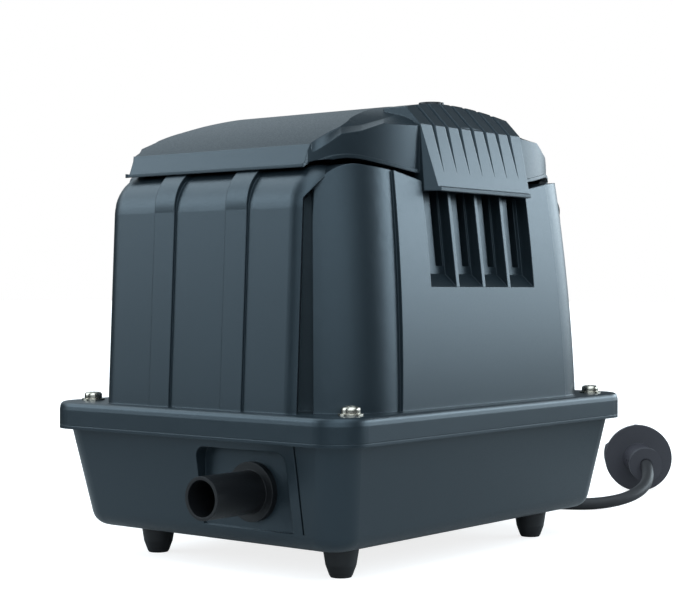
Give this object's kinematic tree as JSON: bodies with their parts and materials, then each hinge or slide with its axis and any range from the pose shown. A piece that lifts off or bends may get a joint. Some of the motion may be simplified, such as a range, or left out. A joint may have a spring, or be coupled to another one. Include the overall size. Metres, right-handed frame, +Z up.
{
  "type": "pond air pump",
  "caption": "Box-shaped linear diaphragm air pump with a lift-off filter lid, end intake grilles, side outlet nozzle, rubber feet and a mains lead with plug.",
  "frame": {"origin": "on the ground under the middle of the pump's outline, nozzle included, mains lead not", "axes": "+Z up, Y along the pump with the outlet nozzle towards -Y, X across it from grille to grille"},
  "size_m": [0.2202, 0.445, 0.2059],
  "materials": {
    "casing_plastic": "fine-grained moulded plastic, dark slate",
    "foot_rubber": "soft black rubber",
    "seal_rubber": "smooth black rubber",
    "screw_steel": "zinc-plated steel",
    "nozzle_plastic": "black moulded plastic",
    "knob_plastic": "black moulded plastic",
    "filter_foam": "open-cell foam",
    "inner_plastic": "plain moulded plastic",
    "core_steel": "pressed and laminated steel",
    "winding_copper": "enamelled copper wire",
    "inner_steel": "turned steel",
    "head_aluminium": "die-cast aluminium",
    "magnet_ferrite": "sintered magnet",
    "hose_rubber": "rubber hose",
    "cord_rubber": "matt rubber-sheathed cord",
    "plug_rubber": "moulded rubber",
    "plug_nickel": "nickel-plated brass"
  },
  "bodies": {
    "casing": {"air_chamber": "inner_plastic", "air_hose_front": "hose_rubber", "air_hose_rear": "hose_rubber", "coil_bobbin_left": "inner_plastic", "coil_bobbin_right": "inner_plastic", "coil_winding_left": "winding_copper", "coil_winding_right": "winding_copper", "cord_coil": "cord_rubber", "cord_strain_relief": "cord_rubber", "cover_screw_washers": "screw_steel", "cover_screws": "screw_steel", "diaphragm_front": "seal_rubber", "diaphragm_rear": "seal_rubber", "filter_foam": "filter_foam", "filter_tray": "inner_plastic", "foot_1": "foot_rubber", "foot_2": "foot_rubber", "foot_3": "foot_rubber", "foot_4": "foot_rubber", "head_bracket_front": "core_steel", "head_bracket_rear": "core_steel", "head_screws_front": "inner_steel", "head_screws_rear": "inner_steel", "lid_seal": "seal_rubber", "lower_housing": "casing_plastic", "mains_cord": "cord_rubber", "motor_base": "core_steel", "outlet_nozzle": "nozzle_plastic", "plug_body": "plug_rubber", "plug_earth_contacts": "plug_nickel", "plug_pins": "plug_nickel", "pump_head_front": "head_aluminium", "pump_head_rear": "head_aluminium", "rim_gasket": "seal_rubber", "shock_mount_1": "foot_rubber", "shock_mount_2": "foot_rubber", "shock_mount_3": "foot_rubber", "shock_mount_4": "foot_rubber", "stator_core_left": "core_steel", "stator_core_right": "core_steel", "terminal_block": "inner_plastic", "upper_cover": "casing_plastic", "valve_cover_front": "inner_plastic", "valve_cover_rear": "inner_plastic"},
    "lid": {"filter_lid": "casing_plastic"},
    "lid_screw": {"lid_screw": "knob_plastic"},
    "armature": {"armature_shaft": "inner_steel", "magnet_carrier": "head_aluminium", "armature_magnets": "magnet_ferrite", "diaphragm_plates_front": "head_aluminium", "diaphragm_plates_rear": "head_aluminium", "shaft_nut_front": "inner_steel", "shaft_nut_rear": "inner_steel"},
    "intake_flap_front": {"intake_flap_front": "seal_rubber"},
    "exhaust_flap_front": {"exhaust_flap_front": "seal_rubber"},
    "intake_flap_rear": {"intake_flap_rear": "seal_rubber"},
    "exhaust_flap_rear": {"exhaust_flap_rear": "seal_rubber"}
  },
  "joints": [
    {"name": "lid_lift", "type": "slide", "parent": "casing", "child": "lid", "axis": [0, 0, 1], "range_m": [0, 0.07]},
    {"name": "lid_screw_turn", "type": "hinge", "parent": "lid", "child": "lid_screw", "pos_m": [0.0475, 0.01, 0.2], "axis": [0, 0, 1], "continuous": true},
    {"name": "armature_slide", "type": "slide", "parent": "casing", "child": "armature", "axis": [0, 1, 0], "range_m": [-0.0018, 0.0018], "stiffness_N_per_m": 9000, "deforming": ["diaphragm_front", "diaphragm_rear"]},
    {"name": "intake_flap_front_hinge", "type": "hinge", "parent": "casing", "child": "intake_flap_front", "pos_m": [0, -0.04745, 0.108], "axis": [1, 0, 0], "range_deg": [0, 12], "stiffness_Nm_per_rad": 0.002},
    {"name": "exhaust_flap_front_hinge", "type": "hinge", "parent": "casing", "child": "exhaust_flap_front", "pos_m": [0, -0.05055, 0.08], "axis": [1, 0, 0], "range_deg": [-12, 0], "stiffness_Nm_per_rad": 0.002},
    {"name": "intake_flap_rear_hinge", "type": "hinge", "parent": "casing", "child": "intake_flap_rear", "pos_m": [0, 0.06745, 0.108], "axis": [1, 0, 0], "range_deg": [-12, 0], "stiffness_Nm_per_rad": 0.002},
    {"name": "exhaust_flap_rear_hinge", "type": "hinge", "parent": "casing", "child": "exhaust_flap_rear", "pos_m": [0, 0.07055, 0.08], "axis": [1, 0, 0], "range_deg": [0, 12], "stiffness_Nm_per_rad": 0.002}
  ]
}
